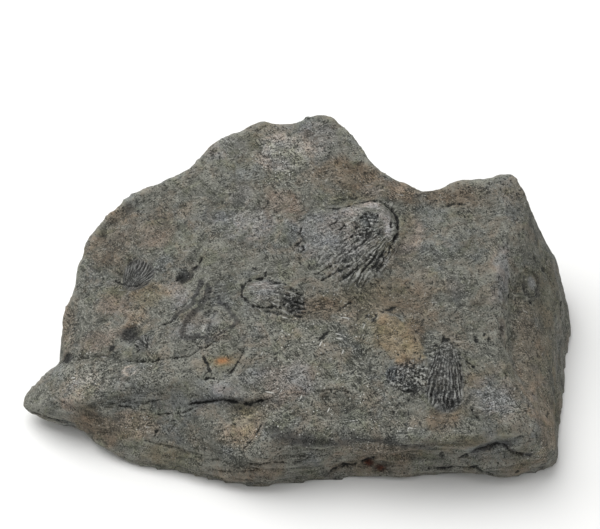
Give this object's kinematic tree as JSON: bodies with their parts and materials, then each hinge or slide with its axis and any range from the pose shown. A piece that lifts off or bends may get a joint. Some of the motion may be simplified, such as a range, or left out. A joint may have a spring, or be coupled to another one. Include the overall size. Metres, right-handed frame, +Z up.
{
  "type": "brachiopod fossil",
  "caption": "Loose block of grey shaly limestone with ribbed brachiopod valves on its sloping upper face, lying on a flat base.",
  "frame": {"origin": "centre of the bounding box in plan, on the flat base that the block rests on", "axes": "+X along the longest extent, away from the thin pointed tip; +Y towards the high back edge; +Z up, the shortest extent"},
  "size_m": [0.1544, 0.1032, 0.0453],
  "materials": {
    "limestone": "rough, dull broken stone"
  },
  "bodies": {
    "root": {"fossil_rock": "limestone"}
  },
  "joints": []
}
